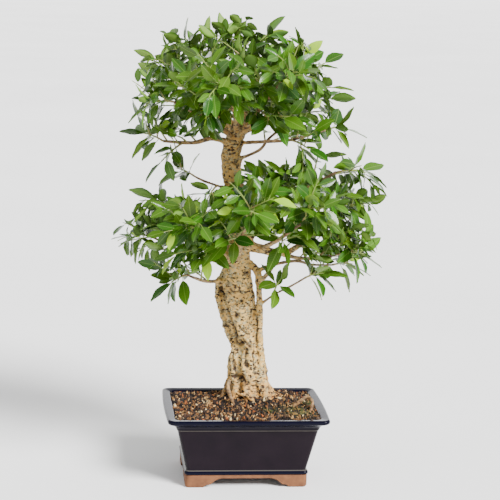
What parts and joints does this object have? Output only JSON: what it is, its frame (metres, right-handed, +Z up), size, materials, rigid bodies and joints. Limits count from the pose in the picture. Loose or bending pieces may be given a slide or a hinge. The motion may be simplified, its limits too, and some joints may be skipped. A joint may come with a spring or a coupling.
{
  "type": "ficus bonsai",
  "caption": "Two-storey ficus bonsai with a fluted trunk, thin aerial stem and leafy sprays, rooted in a gritty mound in a glazed rectangular footed pot.",
  "frame": {"origin": "on the surface that the pot stands on, under the middle of the whole plant's box and of the pot", "axes": "+X towards the right end of the pot as seen from the front, +Y from the front to the back, +Z up the tree"},
  "size_m": [0.5057, 0.4084, 0.862],
  "materials": {
    "glazed_stoneware": "dark blue-black gloss glaze over reddish stoneware, with bare terracotta feet",
    "potting_grit": "coarse granular bonsai soil, brown with tan and grey grains",
    "bark": "cream bark stippled with olive-brown, rough",
    "leaf": "leathery evergreen leaf, glossy above and paler and matt beneath",
    "mesh_plastic": "black moulded plastic mesh"
  },
  "bodies": {
    "root": {"drain_mesh_left": "mesh_plastic", "drain_mesh_right": "mesh_plastic", "pot": "glazed_stoneware", "soil": "potting_grit", "spray_back_arm_1": "leaf", "spray_back_arm_2": "leaf", "spray_back_bough_1": "leaf", "spray_back_left_arm_1": "leaf", "spray_back_left_arm_2": "leaf", "spray_back_left_bough_1": "leaf", "spray_back_right_arm_1": "leaf", "spray_back_right_bough_1": "leaf", "spray_centre_leader_1": "leaf", "spray_centre_leader_2": "leaf", "spray_centre_leader_3": "leaf", "spray_front_arm_1": "leaf", "spray_front_arm_2": "leaf", "spray_front_bough_1": "leaf", "spray_front_bough_2": "leaf", "spray_front_left_arm_1": "leaf", "spray_front_left_arm_2": "leaf", "spray_front_left_bough_1": "leaf", "spray_front_left_bough_2": "leaf", "spray_front_right_arm_1": "leaf", "spray_front_right_arm_2": "leaf", "spray_front_right_arm_3": "leaf", "spray_front_right_bough_1": "leaf", "spray_front_right_bough_2": "leaf", "spray_knobby_bough_1": "leaf", "spray_knobby_bough_2": "leaf", "spray_left_bough_1": "leaf", "spray_left_bough_2": "leaf", "spray_left_leader_1": "leaf", "spray_left_leader_2": "leaf", "spray_left_leader_3": "leaf", "spray_left_leader_4": "leaf", "spray_long_right_bough_1": "leaf", "spray_long_right_bough_2": "leaf", "spray_low_left_arm_1": "leaf", "spray_low_left_arm_2": "leaf", "spray_low_left_bough_1": "leaf", "spray_low_right_arm_1": "leaf", "spray_low_right_arm_2": "leaf", "spray_low_right_bough_1": "leaf", "spray_low_twig_1": "leaf", "spray_low_twig_2": "leaf", "spray_right_leader_1": "leaf", "spray_right_leader_2": "leaf", "spray_right_leader_3": "leaf", "spray_shoulder_bough_1": "leaf", "spray_shoulder_bough_2": "leaf", "spray_shoulder_bough_3": "leaf", "spray_shoulder_bough_4": "leaf", "spray_thin_left_bough_1": "leaf", "spray_thin_left_bough_2": "leaf", "spray_upper_left_bough_1": "leaf", "spray_upper_left_bough_2": "leaf", "tree_wood": "bark"}
  },
  "joints": []
}
